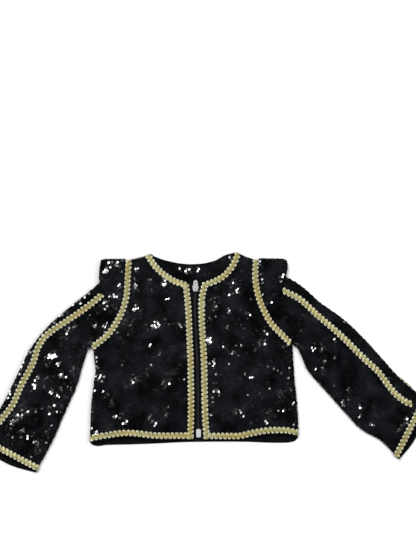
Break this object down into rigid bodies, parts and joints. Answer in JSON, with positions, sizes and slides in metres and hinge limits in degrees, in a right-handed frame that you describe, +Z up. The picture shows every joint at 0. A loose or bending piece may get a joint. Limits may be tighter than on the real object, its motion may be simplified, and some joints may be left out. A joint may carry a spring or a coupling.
{
  "type": "matador jacket",
  "caption": "Child's cropped matador jacket laid flat: black sequinned cloth, gold gimp braid, front zip, long sleeves and a stiff wing over each shoulder.",
  "frame": {"origin": "on the surface that the jacket lies on, under the middle of its box", "axes": "+X along the line of the cuffs towards the wearer's left sleeve, +Y from hem to neck, +Z up, out of the jacket's front"},
  "size_m": [0.722, 0.3606, 0.0108],
  "materials": {
    "sequinned_cloth": "black cloth covered in glossy black sequins",
    "gold_gimp": "pale gold metallic gimp braid",
    "zip_tape": "woven black tape with a black coil",
    "zip_metal": "dull silvery metal"
  },
  "bodies": {
    "jacket": {"back": "sequinned_cloth", "front_right": "sequinned_cloth", "front_left": "sequinned_cloth", "sleeve_right": "sequinned_cloth", "sleeve_left": "sequinned_cloth", "wing_right": "sequinned_cloth", "wing_left": "sequinned_cloth", "front_braid_right": "gold_gimp", "front_braid_left": "gold_gimp", "neck_braid_right": "gold_gimp", "neck_braid_left": "gold_gimp", "hem_braid_right": "gold_gimp", "hem_braid_left": "gold_gimp", "armhole_braid_right": "gold_gimp", "armhole_braid_left": "gold_gimp", "sleeve_braid_right": "gold_gimp", "sleeve_braid_left": "gold_gimp", "cuff_braid_right": "gold_gimp", "cuff_braid_left": "gold_gimp", "back_sleeve_braid_left": "gold_gimp", "zip_tape_right": "zip_tape", "zip_tape_left": "zip_tape", "zip_chain": "zip_tape", "zip_box": "zip_metal", "zip_slider": "zip_metal"},
    "zip_pull": {"zip_pull": "zip_metal"}
  },
  "joints": [
    {"name": "pull_hinge", "type": "hinge", "parent": "jacket", "child": "zip_pull", "pos_m": [-0.01355, 0.11952, 0.00845], "axis": [1, 0, 0], "range_deg": [0, 170]}
  ]
}
